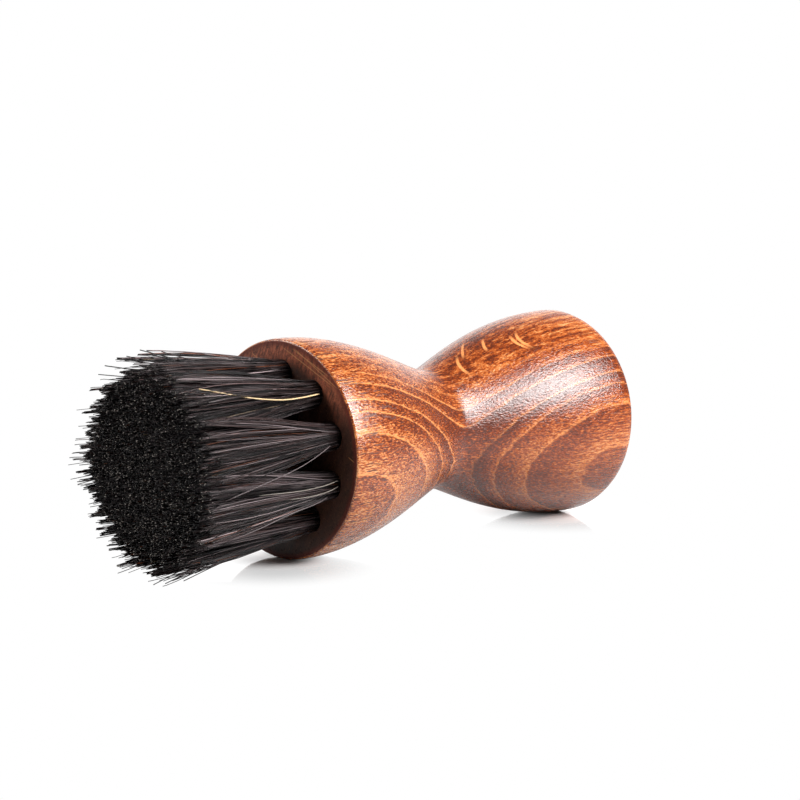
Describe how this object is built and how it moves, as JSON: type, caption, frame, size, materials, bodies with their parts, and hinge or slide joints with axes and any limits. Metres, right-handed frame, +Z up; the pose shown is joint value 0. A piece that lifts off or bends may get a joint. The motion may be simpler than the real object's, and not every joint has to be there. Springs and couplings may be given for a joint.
{
  "type": "shoe polish applicator brush",
  "caption": "Round applicator brush: a waisted turned wooden handle with tufts of dark horsehair stapled into drilled holes in its flat head.",
  "frame": {"origin": "on the table, under the middle of the brush as it lies on its side", "axes": "+X along the turning axis from the bristle tips to the flat butt, +Z up from the table, +Y across"},
  "size_m": [0.1054, 0.0398, 0.0398],
  "materials": {
    "beech": "brown stain under satin lacquer",
    "horsehair": "near-black hair with a dull sheen",
    "staple_wire": "bright drawn wire"
  },
  "bodies": {
    "root": {"handle": "beech", "outer_tuft_01": "horsehair", "outer_tuft_02": "horsehair", "outer_tuft_03": "horsehair", "outer_tuft_04": "horsehair", "outer_tuft_05": "horsehair", "outer_tuft_06": "horsehair", "outer_tuft_07": "horsehair", "outer_tuft_08": "horsehair", "outer_tuft_09": "horsehair", "outer_tuft_10": "horsehair", "inner_tuft_01": "horsehair", "inner_tuft_02": "horsehair", "inner_tuft_03": "horsehair", "inner_tuft_04": "horsehair", "inner_tuft_05": "horsehair", "outer_staple_01": "staple_wire", "outer_staple_02": "staple_wire", "outer_staple_03": "staple_wire", "outer_staple_04": "staple_wire", "outer_staple_05": "staple_wire", "outer_staple_06": "staple_wire", "outer_staple_07": "staple_wire", "outer_staple_08": "staple_wire", "outer_staple_09": "staple_wire", "outer_staple_10": "staple_wire", "inner_staple_01": "staple_wire", "inner_staple_02": "staple_wire", "inner_staple_03": "staple_wire", "inner_staple_04": "staple_wire", "inner_staple_05": "staple_wire"}
  },
  "joints": []
}
